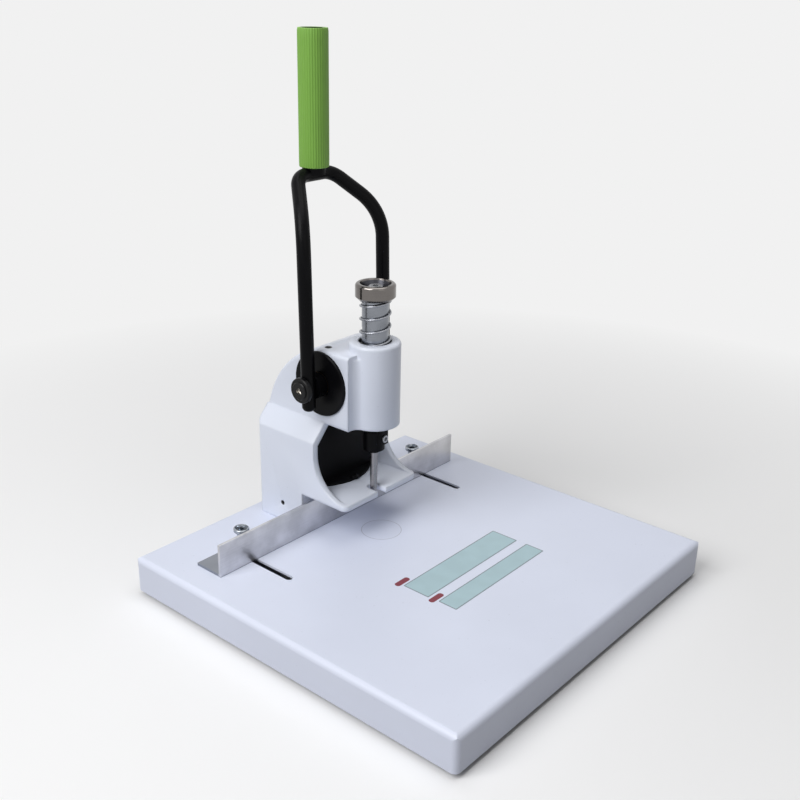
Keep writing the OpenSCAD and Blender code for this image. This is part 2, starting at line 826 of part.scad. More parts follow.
module shaft_bushes() {
    color("goldenrod") for (side = [-1, 1]) on_shaft() difference() {
        translate([side * (head_half - spigot_l), 0, 0]) outward(side)
            cylinder(r = bush_r, h = spigot_l + cap_t);
        outward(1) cylinder(r = shaft_r + running, h = 3 * head_w, center = true);
        translate([side * oil_x, 0, 0]) cylinder(r = oil_feed_r, h = cap_r);
    }
}

//---------------------------------------------------------------------------- spindle

top_screw_l = 4 * top_screw_r;
gaps_low = 3;
gaps_high = ceil(travel / tooth_pitch) + 2;
rack_y = punch_y + rack_line;

// The space in front of the rack's teeth and between them
module rack_space() {
    tip_y = rack_y + gear_module;
    root_y = rack_y - 1.25 * gear_module;
    half = (tooth_pitch / 2 + tooth_thin) / 2;
    slope = tan(pressure);
    low = shaft_z - (gaps_low + 0.5) * tooth_pitch;
    high = shaft_z + (gaps_high + 0.5) * tooth_pitch;
    across(3 * spindle_r) {
        translate([tip_y, low]) square([spindle_r, high - low]);
        for (k = [-gaps_low:gaps_high]) translate([0, shaft_z + k * tooth_pitch])
            polygon([[root_y, half - 1.25 * gear_module * slope],
                     [root_y, -half + 1.25 * gear_module * slope],
                     [tip_y + 0.2, -half - (gear_module + 0.2) * slope],
                     [tip_y + 0.2, half + (gear_module + 0.2) * slope]]);
    }
}

module rack_spindle() {
    color("silver") difference() {
        translate([0, punch_y, 0]) cylinder_from(head_z, top_cap_z, spindle_r);
        rack_space();
        // hole for the chuck's stub, and the chip hole above it
        translate([0, punch_y, 0]) {
            cylinder_from(head_z - past, head_z + stub_l + 1, stub_r + set_gap);
            cylinder_from(head_z, head_z + stub_l + 8, chip_r);
            cylinder_from(top_cap_z - top_screw_l - screw_spare, top_cap_z + past,
                          top_screw_r + running);
        }
        // slot for the guide screw's tip
        translate([0, punch_y, guide_z]) rotate([0, 0, guide_angle]) {
            w = guide_tip_r + side_gap / 2;
            translate([spindle_r - guide_depth, -w, 0]) cube([spindle_r, 2 * w, travel]);
            for (z = [0, travel]) translate([spindle_r - guide_depth, 0, z]) outward(1)
                cylinder(r = w, h = spindle_r);
        }
    }
}

module guide_screw() {
    tip = spindle_r - guide_depth + side_gap / 2;
    back = boss_r - 0.8;
    color("dimgray") translate([0, punch_y, guide_z]) rotate([0, 90, guide_angle]) difference() {
        union() {
            cylinder_from(tip, back, guide_tip_r);
            cylinder_from(spindle_r + 1, back, guide_r);
        }
        translate([0, 0, back - 3]) hexagon(guide_r, 4);
    }
}

//---------------------------------------------------------------------------- spring

coil_low = seat_z + wire_d / 2;
coil_rise = top_cap_z - seat_z - wire_d;
open_turns = (coil_rise - 2 * end_turns * end_pitch) / coil_pitch;
turns = open_turns + 2 * end_turns;
rings_per_turn = 16;
ring_sides = 6;
ring_n = ceil(turns * rings_per_turn);

// Height of the wire's centre after t turns: flat at the ends and steep between them
function coil_z(t) = coil_low + end_pitch * min(t, end_turns)
    + coil_pitch * max(0, min(t - end_turns, open_turns))
    + end_pitch * max(0, t - end_turns - open_turns);
function coil_point(t) = let (a = coil_angle + 360 * (t - turns))
    [coil_r * cos(a), punch_y + coil_r * sin(a), coil_z(t)];
function coil_way(t) = let (a = coil_angle + 360 * (t - turns)) [-sin(a), cos(a), 0];
// The wire's centre line: its coils, with a straight run of one wire diameter at each end
spring_line = concat([coil_point(0) - wire_d * coil_way(0)],
                     [for (i = [0:ring_n]) coil_point(turns * i / ring_n)],
                     [coil_point(turns) + wire_d * coil_way(turns)]);
spring_n = len(spring_line);

function unit(v) = v / norm(v);
function line_way(i) = unit(spring_line[min(i + 1, spring_n - 1)] - spring_line[max(i - 1, 0)]);
// One ring of points square to the wire, starting on the side away from the spring's axis
function wire_ring(i) =
    let (p = spring_line[i], w = line_way(i), out = unit([p.x, p.y - punch_y, 0]),
         side = unit(cross(w, out)), away = cross(side, w))
    [for (k = [0:ring_sides - 1]) let (a = 360 * k / ring_sides)
        p + wire_d / 2 * (away * cos(a) + side * sin(a))];

spring_points = [for (i = [0:spring_n - 1]) each wire_ring(i)];
spring_faces = concat(
    [for (i = [0:spring_n - 2], k = [0:ring_sides - 1], half = [0, 1])
        let (a = i * ring_sides + k, b = i * ring_sides + (k + 1) % ring_sides)
        half == 0 ? [a, b, b + ring_sides] : [a, b + ring_sides, a + ring_sides]],
    [for (k = [1:ring_sides - 2]) [0, k + 1, k]],
    [for (k = [1:ring_sides - 2]) let (e = (spring_n - 1) * ring_sides) [e, e + k, e + k + 1]]);

// Least gap between the wire and itself, measured between rings at least half a turn apart
spring_gap = min([for (i = [0:spring_n - 1], j = [i + rings_per_turn / 2:1:spring_n - 1])
                  norm(spring_line[i] - spring_line[j])]) - wire_d;
echo(spring_gap = spring_gap);

module return_spring() {
    color("silver") polyhedron(points = spring_points, faces = spring_faces);
}

//---------------------------------------------------------------------------- top cap

module top_cap() {
    chamfer = 2.2;
    edge = 2.4;
    floor_z = top_cap_h - top_recess_d;
    color("silver") translate([0, punch_y, top_cap_z]) difference() {
        rotate_extrude() {
            polygon([[0, 0], [top_cap_r - chamfer, 0], [top_cap_r, chamfer],
                     [top_cap_r, top_cap_h - edge], [top_cap_r - edge, top_cap_h], [0, top_cap_h]]);
            translate([top_cap_r - edge, top_cap_h - edge]) circle(edge);
        }
        translate([0, 0, floor_z])
            cylinder(r1 = top_recess_r - 2, r2 = top_recess_r, h = top_recess_d + set_gap);
        cylinder_from(-past, top_cap_h, top_screw_r + screw_gap);
    }
}

module top_cap_screw() {
    head = 3.6;
    floor_z = top_cap_z + top_cap_h - top_recess_d;
    color("gray") translate([0, punch_y, 0]) difference() {
        union() {
            cylinder_from(top_cap_z - top_screw_l, floor_z + 1, top_screw_r);
            translate([0, 0, floor_z]) rotate_extrude()
                polygon([[0, 0], [1.6 * top_screw_r, 0], [1.6 * top_screw_r, head - 0.8],
                         [1.6 * top_screw_r - 0.8, head], [0, head]]);
        }
        translate([0, 0, floor_z + head - 2.4]) hexagon(1.25 * top_screw_r, 4);
    }
}

//---------------------------------------------------------------------------- punch

groove_pitch = 2.5;
groove_w = 0.9;
groove_d = 0.5;

module chuck() {
    color("black") translate([0, punch_y, 0]) difference() {
        union() {
            cylinder_from(chuck_z, head_z, nose_r);
            difference() {
                cylinder_from(chuck_z + nose_l, head_z, chuck_r);
                for (k = [1:3]) translate([0, 0, head_z - k * groove_pitch]) difference() {
                    cylinder(r = chuck_r + past, h = groove_w);
                    cylinder_from(-past, groove_w + past, chuck_r - groove_d);
                }
            }
            cylinder_from(head_z - 1, head_z + stub_l, stub_r);
            // ear for the clamp screw
            translate([0, 0, clamp_z - ear_w / 2]) linear_extrude(head_z - side_gap - clamp_z + ear_w / 2)
                soft_square(-ear_w / 2, -ear_out, ear_w / 2, 0, 1.5);
        }
        cylinder_from(chuck_z - past, chuck_z + punch_grip, punch_r + set_gap);
        cylinder_from(chuck_z, head_z + stub_l + past, punch_r - punch_wall);
        translate([0, 0, clamp_z]) rotate([90, 0, 0]) cylinder(r = clamp_r + running, h = 2 * ear_out);
    }
}

module chuck_screw() {
    color("silver") translate([0, punch_y, clamp_z]) rotate([90, 0, 0]) difference() {
        union() {
            cylinder_from(punch_r + set_gap, ear_out + 0.5, clamp_r);
            cylinder_from(ear_out + set_gap, ear_out + clamp_head_h, clamp_head_r);
        }
        translate([0, 0, ear_out + clamp_head_h - 2]) hexagon(1.4 * clamp_r, 3);
    }
}

module hollow_punch() {
    edge = punch_wall;
    color("silver") translate([0, punch_y, 0]) difference() {
        union() {
            cylinder_from(punch_tip + edge, chuck_z + punch_grip, punch_r);
            translate([0, 0, punch_tip])
                cylinder(r1 = punch_r - edge + 0.15, r2 = punch_r, h = edge);
        }
        cylinder_from(punch_tip - past, chuck_z + punch_grip + past, punch_r - punch_wall);
    }
}

//---------------------------------------------------------------------------- handle

// Length by which a straight rod runs over the bends at its ends, and how much thinner they are
rod_lap = 0.5;
bend_step = 0.02;

// A straight rod between two points
module rod(a, b, r) {
    d = b - a;
    translate(a) rotate([0, acos(d.z / norm(d)), atan2(d.y, d.x)])
        translate([0, 0, -rod_lap]) cylinder(r = r, h = norm(d) + 2 * rod_lap);
}

// Length that a bend of radius r takes from each side of its corner
function bend_cut(u, v, r) = r * tan(acos(unit(u) * unit(v)) / 2);

// A round bend at corner p, coming along u and leaving along v
module bend(p, u, v, bend, r) {
    x = unit(u);
    turn = acos(x * unit(v));
    n = unit(cross(x, unit(v)));
    y = cross(n, x);
    c = p - x * bend_cut(u, v, bend) + y * bend;
    multmatrix([[-y.x, x.x, n.x, c.x], [-y.y, x.y, n.y, c.y], [-y.z, x.z, n.z, c.z]])
        rotate_extrude(angle = turn) translate([bend, 0]) circle(r - bend_step);
}

elbow = [leg_x, shaft_y + leg_back, shaft_z + leg_rise];
corner = [fork_top, fork_y, fork_z];

module fork_half() {
    up = [0, sin(lean), cos(lean)];
    slope = corner - elbow;
    inward = [-1, 0, 0];
    edge = 0.75 * rod_r;
    leg_low = [leg_x, shaft_y, shaft_z] - up * leg_tail;
    leg_l = norm(elbow - leg_low) - bend_cut(up, slope, bend_r) + rod_lap;
    // the straight leg, with its rounded lower end
    translate(leg_low) rotate([-lean, 0, 0]) rotate_extrude() {
        translate([0, edge]) square([rod_r, leg_l - edge]);
        square([rod_r - edge, edge + rod_lap]);
        intersection() {
            square([rod_r, edge]);
            translate([rod_r - edge, edge]) circle(edge);
        }
    }
    bend(elbow, up, slope, bend_r, rod_r);
    rod(elbow + unit(slope) * bend_cut(up, slope, bend_r),
        corner - unit(slope) * bend_cut(slope, inward, corner_r), rod_r);
    bend(corner, slope, inward, corner_r, rod_r);
    rod(corner + inward * bend_cut(slope, inward, corner_r), [0, fork_y, fork_z], rod_r);
}

stem_top = grip_z + grip_l - 0.5;

module handle_fork() {
    color("black") difference() {
        union() {
            both_sides() fork_half();
            translate([0, fork_y, 0]) difference() {
                cylinder_from(fork_z, stem_top, stem_r);
                cylinder_from(fork_z + rod_r + 2, stem_top + past, stem_r - stem_wall);
            }
        }
        on_shaft() outward(1) cylinder(r = fork_bolt_r + screw_gap, h = 3 * leg_x, center = true);
    }
}

// The half-round seat of a fork's leg
module leg_space() {
    translate([leg_x, 0, 0]) rotate([-lean, 0, 0])
        cylinder(r = rod_r + set_gap, h = 4 * collar_r, center = true);
}

module fork_collars() {
    color("black") on_shaft() both_sides() difference() {
        translate([collar_x, 0, 0]) outward(1) cylinder(r = collar_r, h = collar_l + saddle_d);
        intersection() {
            outward(1) cylinder(r = shaft_r + set_gap, h = shaft_end + set_gap);
            cube([3 * leg_x, 3 * shaft_r, 2 * (flat_half + set_gap)], center = true);
        }
        outward(1) cylinder(r = fork_bolt_r + screw_gap, h = 2 * leg_x);
        leg_space();
    }
}

module fork_washers() {
    color("black") on_shaft() both_sides() difference() {
        translate([leg_x + rod_r - saddle_d, 0, 0]) outward(1)
            cylinder(r = fork_washer_r, h = washer_x - leg_x - rod_r + saddle_d);
        outward(1) cylinder(r = fork_bolt_r + screw_gap, h = 2 * leg_x);
        leg_space();
    }
}

module fork_bolts() {
    crown = 1.2;
    step = 1.2;
    color("black") on_shaft() both_sides() difference() {
        outward(1) {
            cylinder_from(shaft_end - fork_bolt_in, washer_x + 1, fork_bolt_r);
            translate([0, 0, washer_x]) rotate_extrude() {
                square([fork_head_r, fork_head_h - step - crown]);
                square([fork_head_r - crown, fork_head_h - step]);
                translate([fork_head_r - crown, fork_head_h - step - crown]) circle(crown);
                polygon([[0, 0], [0.7 * fork_head_r, 0], [0.7 * fork_head_r, fork_head_h - 0.5 * step],
                         [0.7 * fork_head_r - 0.5 * step, fork_head_h], [0, fork_head_h]]);
            }
        }
        translate([washer_x + fork_head_h - 3, 0, 0]) outward(1) hexagon(1.7 * fork_bolt_r, 4);
    }
}

module handle_grip() {
    steps = 4;
    n = grip_ribs * steps;
    color("yellowgreen") translate([0, fork_y, grip_z]) linear_extrude(grip_l) difference() {
        polygon([for (i = [0:n - 1]) let (a = 360 * i / n)
                 (grip_r - rib_d * (1 - cos(grip_ribs * a)) / 2) * [cos(a), sin(a)]]);
        circle(grip_r - grip_wall);
    }
}

module grip_plug() {
    r = stem_r - stem_wall - set_gap;
    color("black") translate([0, fork_y, 0]) difference() {
        cylinder_from(stem_top - 14, stem_top - 2, r);
        cylinder_from(stem_top - 4, stem_top, r - 1.5);
    }
}

//---------------------------------------------------------------------------- assembly

base_tray();
rubber_feet();
feet_screws();
cutting_pad();
frame_casting();
column_bolts();
throat_cover();
cover_screw();
back_fence();
fence_screw_left();
fence_screw_right();
fence_nuts();
cross_shaft();
pinion();
pinion_key();
side_cap_left();
side_cap_right();
shaft_bushes();
rack_spindle();
guide_screw();
return_spring();
top_cap();
top_cap_screw();
chuck();
chuck_screw();
hollow_punch();
handle_fork();
fork_collars();
fork_washers();
fork_bolts();
handle_grip();
grip_plug();
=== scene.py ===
"""Paper drill: finishes, soft edges, throat plate, coil spring, ribbed grip and stickers on the frame."""

import json
import math

import bmesh
import bpy
from mathutils import Matrix, Vector


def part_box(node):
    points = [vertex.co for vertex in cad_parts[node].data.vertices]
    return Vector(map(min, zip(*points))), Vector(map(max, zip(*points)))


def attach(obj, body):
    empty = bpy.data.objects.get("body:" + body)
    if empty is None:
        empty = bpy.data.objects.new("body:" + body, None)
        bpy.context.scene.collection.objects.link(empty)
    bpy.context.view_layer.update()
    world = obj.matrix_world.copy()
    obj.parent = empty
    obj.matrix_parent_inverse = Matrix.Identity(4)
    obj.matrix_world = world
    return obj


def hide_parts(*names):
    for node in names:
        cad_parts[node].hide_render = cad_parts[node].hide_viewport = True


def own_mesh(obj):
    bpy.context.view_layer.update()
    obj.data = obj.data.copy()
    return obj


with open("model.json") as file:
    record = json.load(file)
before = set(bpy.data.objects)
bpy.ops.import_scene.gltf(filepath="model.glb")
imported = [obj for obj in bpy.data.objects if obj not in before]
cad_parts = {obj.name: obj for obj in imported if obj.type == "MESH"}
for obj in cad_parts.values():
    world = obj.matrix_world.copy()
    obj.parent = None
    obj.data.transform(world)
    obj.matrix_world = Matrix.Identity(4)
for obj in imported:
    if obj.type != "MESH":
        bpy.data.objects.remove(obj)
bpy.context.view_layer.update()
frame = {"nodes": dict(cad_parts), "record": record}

MM = 0.001


def middle(node, axis):
    """Middle of a node's box along one axis, in millimetres."""
    low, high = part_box(node)
    return (low[axis] + high[axis]) / 2 / MM


def level(node, top):
    """Lowest or highest point of a node, in millimetres."""
    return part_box(node)[1 if top else 0][2] / MM


# Places on the drill that the pieces below follow, in millimetres
DECK_Z = level("base_tray", True)
PUNCH_Y = middle("top_cap", 1)
PAD_Y = middle("cutting_pad", 1)
SHAFT_Y, SHAFT_Z = middle("cross_shaft", 1), middle("cross_shaft", 2)
BOSS_TOP = level("frame_casting", True)
HEAD_LOW = level("rack_spindle", False)
COLUMN_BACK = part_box("frame_casting")[1][1] / MM
# Where the casting's coat is painted near-black as shade: in the spring's seat, from just below the
# boss's top; round the oil holes, from a height above the shaft; and in the tapped hole, from a distance
# left of the middle
SEAT_R, SEAT_EDGE = 14.4, 0.6
OIL_X, OIL_RIM, OIL_RISE = 23.5, 3.1, 20.0
TAPPED, TAPPED_R, TAPPED_OUT = (COLUMN_BACK - 32.0, DECK_Z + 18.5), 2.1, 40.0
# Half the width of the dirty line round the cutting pad
SEAM = 0.3
# Top cap's recess, painted as shade: radius, depth, and the rim below its top that the painted shade
# leaves clear. Fence screws' dishes, painted as shade: radius and depth
RECESS_R, RECESS_DEPTH, RECESS_RIM = 13.6, 6.4, 0.9
DISH_R, DISH_DEPTH = 4.2, 2.6
# Fence: how far behind its front the inner faces painted darker as a reflection start, and the height of
# the painted shadow along its foot
FENCE_INNER, FENCE_FOOT_SHADE = 2.8, 0.9
# Spring: its seat inside the boss, the cap above it, and its wire and coils
SPRING_SEAT_DEPTH = 12.0
SPRING_LOW = BOSS_TOP - SPRING_SEAT_DEPTH
SPRING_HIGH = level("top_cap", False)
WIRE_R, COIL_R = 0.95, 12.8
END_TURNS, PITCH, END_PITCH = 0.7, 11.5, 1.2
COIL_TOP_ANGLE = 167
# Throat cover: its sheet, where the CAD tab is cut off, and the black lip along its foot that stands in
# for the shadow on the foot plate
COVER_T, COVER_CUT = 2.0, 0.02
SHADOW_LIP_HALF, SHADOW_LIP_OUT, SHADOW_LIP_LAP = 34.0, 13.5, 0.5
SHADOW_LIP_STEPS = 32
# Grip: its ends, its sleeve and the paler band at each end
GRIP_SPAN = (level("handle_grip", False), level("handle_grip", True))
GRIP_R, GRIP_WALL, GRIP_ROUND, GRIP_PALE = 12.8, 2.5, 0.7, 1.2
RIBS, RIB_DEPTH = 36, 0.30
# Fork bolts: the outer face of a head, the radius of its socket, and the radii between which the socket's
# black floor gives way to the pale metal ring painted as its glint
BOLT_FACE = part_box("fork_bolts")[1][0] / MM
SOCKET_R, SOCKET_FLOOR = 3.1, (1.9, 2.1)
# Widths of the soft edges between two finishes
EDGE, FINE_EDGE, WIDE_EDGE = 0.4, 0.2, 0.6


# --------------------------------------------------------------------------- node trees

class Wire:
    """One output in a node tree. Arithmetic on wires adds Math nodes to the tree."""

    def __init__(self, graph, socket):
        self.graph = graph
        self.socket = socket

    def math(self, operation, *others, clamp=False):
        settings = {"operation": operation, "use_clamp": clamp}
        return self.graph.add("ShaderNodeMath", settings, [self, *others])

    def __add__(self, other):
        return self.math("ADD", other)

    __radd__ = __add__

    def __mul__(self, other):
        return self.math("MULTIPLY", other)

    __rmul__ = __mul__

    def __sub__(self, other):
        return self.math("SUBTRACT", other)

    def __rsub__(self, other):
        return self.graph.add("ShaderNodeMath", {"operation": "SUBTRACT"}, [other, self])

    def __truediv__(self, other):
        return self.math("DIVIDE", other)

    def clamped(self):
        return self.math("ADD", 0, clamp=True)

    def step(self, low, high):
        """0 below low, 1 above high and a ramp between them."""
        return ((self - low) / (high - low)).clamped()


class Graph:
    """Adds nodes to a shader tree or a geometry tree."""

    def __init__(self, tree):
        self.tree = tree

    def add(self, kind, settings=None, inputs=None, output=0):
        """One node: its settings first, then the values or wires of its sockets. Returns one output."""
        node = self.tree.nodes.new(kind)
        for key, value in (settings or {}).items():
            setattr(node, key, value)
        pairs = enumerate(inputs) if isinstance(inputs, list) else (inputs or {}).items()
        for key, value in pairs:
            self.feed(node.inputs[key], value)
        return Wire(self, node.outputs[output])

    def feed(self, socket, value):
        if isinstance(value, Wire):
            self.tree.links.new(value.socket, socket)
        else:
            socket.default_value = value

    def seen(self):
        """1 for the rays that show the backdrop: straight, mirrored or let through."""
        rays = ["Is Camera Ray", "Is Glossy Ray", "Is Transmission Ray"]
        path = self.tree.nodes.new("ShaderNodeLightPath")
        camera_ray, glossy_ray, clear_ray = (Wire(self, path.outputs[name]) for name in rays)
        return (camera_ray + glossy_ray + clear_ray).clamped()


class Finish(Graph):
    """A material with one principled shader."""

    def __init__(self, name):
        self.material = bpy.data.materials.new(name)
        self.material.use_nodes = True
        super().__init__(self.material.node_tree)
        self.shader = next(n for n in self.tree.nodes if n.type == "BSDF_PRINCIPLED")
        self.place = self.add("ShaderNodeTexCoord", output="Object")

    def set(self, **values):
        """Sets the shader's sockets; a name's underscores stand for spaces."""
        for key, value in values.items():
            self.feed(self.shader.inputs[key.replace("_", " ")], value)
        return self

    def stretched(self, x, y, z):
        return self.add("ShaderNodeMapping", inputs={"Vector": self.place, "Scale": (x, y, z)})

    def axes(self):
        node = self.tree.nodes.new("ShaderNodeSeparateXYZ")
        self.feed(node.inputs[0], self.place)
        return [Wire(self, socket) for socket in node.outputs]

    def noise(self, scale, detail=3.0, where=None):
        return self.add("ShaderNodeTexNoise",
                        inputs={"Vector": where or self.place, "Scale": scale, "Detail": detail})

    def blend(self, factor, one, two):
        """Mixes two colours."""
        sides = {0: factor, 6: colour(one), 7: colour(two)}
        return self.add("ShaderNodeMix", {"data_type": "RGBA"}, sides, output=2)

    def bump(self, height, distance, rounding=0.0):
        """A bump over the surface; rounding is the radius that the light sees on sharp edges."""
        sides = {"Height": height, "Distance": distance}
        if rounding:
            sides["Normal"] = self.add("ShaderNodeBevel", {"samples": 6}, {"Radius": rounding})
        return self.set(Normal=self.add("ShaderNodeBump", inputs=sides))


def colour(value):
    return value if isinstance(value, Wire) else (*value[:3], 1.0)


# --------------------------------------------------------------------------- finishes

SEAM_DIRT = (0.16, 0.17, 0.20)
BORE_SHADE = (0.035, 0.037, 0.042)


def past(place, mark, soft=EDGE):
    """1 where a place along an axis lies beyond a mark in millimetres."""
    return (place - mark * MM).step(0, soft * MM)


def short_of(place, mark, soft=EDGE):
    """1 where a place along an axis lies before a mark in millimetres."""
    return (mark * MM - place).step(0, soft * MM)


def near(parts, across, centre, radius, soft=0.3):
    """1 inside a bore of the given centre and radius, across being its two cross axes."""
    one = parts[across[0]] - centre[0] * MM
    two = parts[across[1]] - centre[1] * MM
    away = (one * one + two * two).math("SQRT")
    return 1 - away.step(radius * MM, (radius + soft) * MM)


def powder_coat(name, tint, grain, depth, gloss, bore_shade=None, seam=None, rounding=0.0):
    """Sprayed white powder coat: fine orange peel, faint cloudiness and a few dust specks.

    bore_shade gives a mask of bores painted near-black as shade, seam a mask of a dirty joint line."""
    f = Finish(name)
    peel = f.noise(1 / grain, 2.0)
    cloud = f.noise(9.0, 3.0)
    specks = f.noise(420.0, 1.0).step(0.74, 0.80)
    shade = tuple(c * 0.955 for c in tint)
    dirty = tuple(c * 0.80 for c in tint)
    clean = f.blend(cloud.step(0.35, 0.65), shade, tint)
    coat = f.blend(specks * 0.5, clean, dirty)
    if seam:
        coat = f.blend(seam(f.axes()) * 0.45, coat, SEAM_DIRT)
    if bore_shade:
        # painted near-black shade in the bores
        coat = f.blend(bore_shade(f.axes()), coat, BORE_SHADE)
    f.set(Base_Color=coat, Roughness=gloss + 0.10 * (cloud - 0.5) + 0.06 * (peel - 0.5))
    f.set(Coat_Weight=0.12, Coat_Roughness=0.25)
    return f.bump(peel, depth, rounding).material


def pad_seam(parts):
    """The joint between the cutting pad and the base."""
    pad_r = (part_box("cutting_pad")[1][0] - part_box("cutting_pad")[0][0]) / 2 / MM
    wide = near(parts, (0, 1), (0, PAD_Y), pad_r + SEAM, FINE_EDGE)
    return wide * (1 - near(parts, (0, 1), (0, PAD_Y), pad_r - SEAM, FINE_EDGE))


def casting_bore_shade(parts):
    """The spindle's bore, the oil holes with a ring round each, and the tapped hole: bare of coat, and
    painted near-black as the shade inside them.
    """
    x, z = parts[0], parts[2]
    below_top = short_of(z, BOSS_TOP - SEAT_EDGE) * past(z, HEAD_LOW)
    spindle = near(parts, (0, 1), (0, PUNCH_Y), SEAT_R) * below_top
    oil = near(parts, (0, 1), (-OIL_X, SHAFT_Y), OIL_RIM) + near(parts, (0, 1), (OIL_X, SHAFT_Y), OIL_RIM)
    tapped = near(parts, (1, 2), TAPPED, TAPPED_R) * short_of(x, -TAPPED_OUT)
    return (spindle + oil * past(z, SHAFT_Z + OIL_RISE) + tapped).clamped()


def black_satin(name, tint, gloss, shine):
    """Black coated steel: a soft grain with faint rub marks."""
    f = Finish(name)
    grain = f.noise(2400.0, 2.0)
    rubs = f.noise(60.0, 6.0, f.stretched(1, 1, 0.25)).step(0.55, 0.75)
    lighter = tuple(min(1.0, c * 2.4 + 0.004) for c in tint)
    f.set(Base_Color=f.blend(rubs * 0.6, tint, lighter), Specular_IOR_Level=shine,
          Roughness=gloss + 0.12 * rubs + 0.08 * (grain - 0.5))
    return f.bump(grain, 0.00002).material


def brushed(name, tint, gloss, along, shade_and_dull):
    """Metal with fine lines along one axis. shade_and_dull gives a mask of faces painted darker as shade
    and dark reflection.
    """
    f = Finish(name)
    lines = 1500.0
    scale = [lines, lines, lines]
    scale[along] = lines / 120
    lines_noise = f.noise(1.0, 3.0, f.stretched(*scale))
    cloud = f.noise(44.0, 5.0)
    dark = tuple(c * 0.72 for c in tint)
    face = f.blend(lines_noise.step(0.3, 0.7) * 0.25 + cloud.step(0.38, 0.62) * 0.75, dark, tint)
    # painted shade and dark reflection on the faces that the mask picks
    face = f.blend(shade_and_dull(f.axes()) * 0.85, face, (0.24, 0.26, 0.30))
    f.set(Base_Color=face, Metallic=1.0,
          Roughness=gloss + 0.16 * (lines_noise - 0.5) + 0.10 * (cloud - 0.5))
    return f.bump(lines_noise, 0.000004).material


def turned(name, tint, gloss, lines=1800.0, axis=2, shade_and_dull=None, worn=0.25):
    """Turned or ground metal: fine rings square to its axis, with slight wander.

    shade_and_dull gives a mask of recesses painted darker as shade and made rougher, worn the share of
    stains."""
    f = Finish(name)
    parts = f.axes()
    wander = f.noise(40.0, 2.0) * 0.4
    ring = f.add("ShaderNodeCombineXYZ", inputs=[parts[axis] * lines + wander, 0.0, 0.0])
    rings = f.noise(1.0, 2.0, ring)
    stain = f.noise(90.0, 4.0).step(0.45, 0.75)
    dark = tuple(c * 0.72 for c in tint)
    face = f.blend((1 - worn) * 0.75 * rings.step(0.3, 0.7) + worn * stain, tint, dark)
    rough = gloss + 0.14 * (rings - 0.5) + 0.12 * stain
    if shade_and_dull:
        hollow = shade_and_dull(f.axes())
        # painted shade in the recesses
        face = f.blend(hollow * 0.8, face, (0.035, 0.040, 0.055))
        rough = rough + 0.12 * hollow
    f.set(Base_Color=face, Metallic=1.0, Roughness=rough)
    return f.bump(rings, 0.000006).material


def cap_recess_shade(parts):
    """Painted shade in the recess in the top cap."""
    top = level("top_cap", True)
    inside = past(parts[2], top - RECESS_DEPTH) * short_of(parts[2], top - RECESS_RIM, WIDE_EDGE)
    return near(parts, (0, 1), (0, PUNCH_Y), RECESS_R, 0.1) * inside


def screw_dish_shade(parts):
    """Painted shade in the dished heads of the two fence screws."""
    x, y = middle("fence_screw_right", 0), middle("fence_screw_right", 1)
    both = near(parts, (0, 1), (x, y), DISH_R, 1.0) + near(parts, (0, 1), (-x, y), DISH_R, 1.0)
    return both * past(parts[2], level("fence_screw_right", True) - DISH_DEPTH, 0.3)


def fence_shade(parts):
    """Painted shade on the fence: its inner faces darker than its front face as a painted dark
    reflection, and a painted shadow along its foot.
    """
    inner = past(parts[1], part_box("back_fence")[0][1] / MM + FENCE_INNER, FINE_EDGE)
    foot = short_of(parts[2], level("back_fence", False) + FENCE_FOOT_SHADE, WIDE_EDGE)
    return (inner + foot).clamped()


def plastic(name, tint, gloss, grain=0.0012, depth=0.00002, shine=0.5, seam=None):
    """Moulded plastic or rubber: a soft, even grain with slight flow marks."""
    f = Finish(name)
    grains = f.noise(1 / grain, 2.0)
    flow = f.noise(16.0, 4.0, f.stretched(1, 1, 0.3))
    dark = tuple(c * 0.88 for c in tint)
    body = f.blend(flow.step(0.3, 0.7), dark, tint)
    if seam:
        body = f.blend(seam(f.axes()) * 0.45, body, SEAM_DIRT)
    f.set(Base_Color=body, Specular_IOR_Level=shine,
          Roughness=gloss + 0.10 * (grains - 0.5) + 0.08 * (flow - 0.5))
    return f.bump(grains, depth).material


def grip_green(name, tint):
    """Green grip plastic: faint streaks along its length, and paler at the cut ends."""
    f = Finish(name)
    z = f.axes()[2]
    streak = f.noise(1.0, 3.0, f.stretched(900, 900, 10))
    cloud = f.noise(30.0, 3.0)
    low, high = GRIP_SPAN
    ends = past(z, high - GRIP_PALE, 0.8) + short_of(z, low + GRIP_PALE, 0.8)
    pale = tuple(min(1.0, c * 1.25 + 0.05) for c in tint)
    deep = tuple(c * 0.86 for c in tint)
    body = f.blend(streak.step(0.35, 0.65) * 0.5 + cloud * 0.5, deep, tint)
    f.set(Base_Color=f.blend(ends.clamped() * 0.7, body, pale),
          Roughness=0.46 + 0.12 * (streak - 0.5))
    return f.bump(streak, 0.00003).material


def bolt_black(name, tint):
    """The fork's bolts: black heads with a pale metal ring in each hex socket, painted as its glint."""
    f = Finish(name)
    x, y, z = f.axes()
    dy, dz = y - SHAFT_Y * MM, z - SHAFT_Z * MM
    radius = (dy * dy + dz * dz).math("SQRT")
    inside = 1 - radius.step(SOCKET_R * MM, (SOCKET_R + FINE_EDGE) * MM)
    socket = inside * radius.step(SOCKET_FLOOR[0] * MM, SOCKET_FLOOR[1] * MM)
    sunk = 1 - x.math("ABSOLUTE").step((BOLT_FACE - EDGE) * MM, (BOLT_FACE - FINE_EDGE) * MM)
    socket_glint = socket * sunk
    grain = f.noise(1800.0, 2.0)
    # the socket's ring is pale metal painted as a glint
    f.set(Base_Color=f.blend(socket_glint, tint, (0.60, 0.58, 0.55)), Metallic=socket_glint, Specular_IOR_Level=0.2,
          Roughness=0.30 + 0.10 * (grain - 0.5))
    return f.bump(grain, 0.00002).material


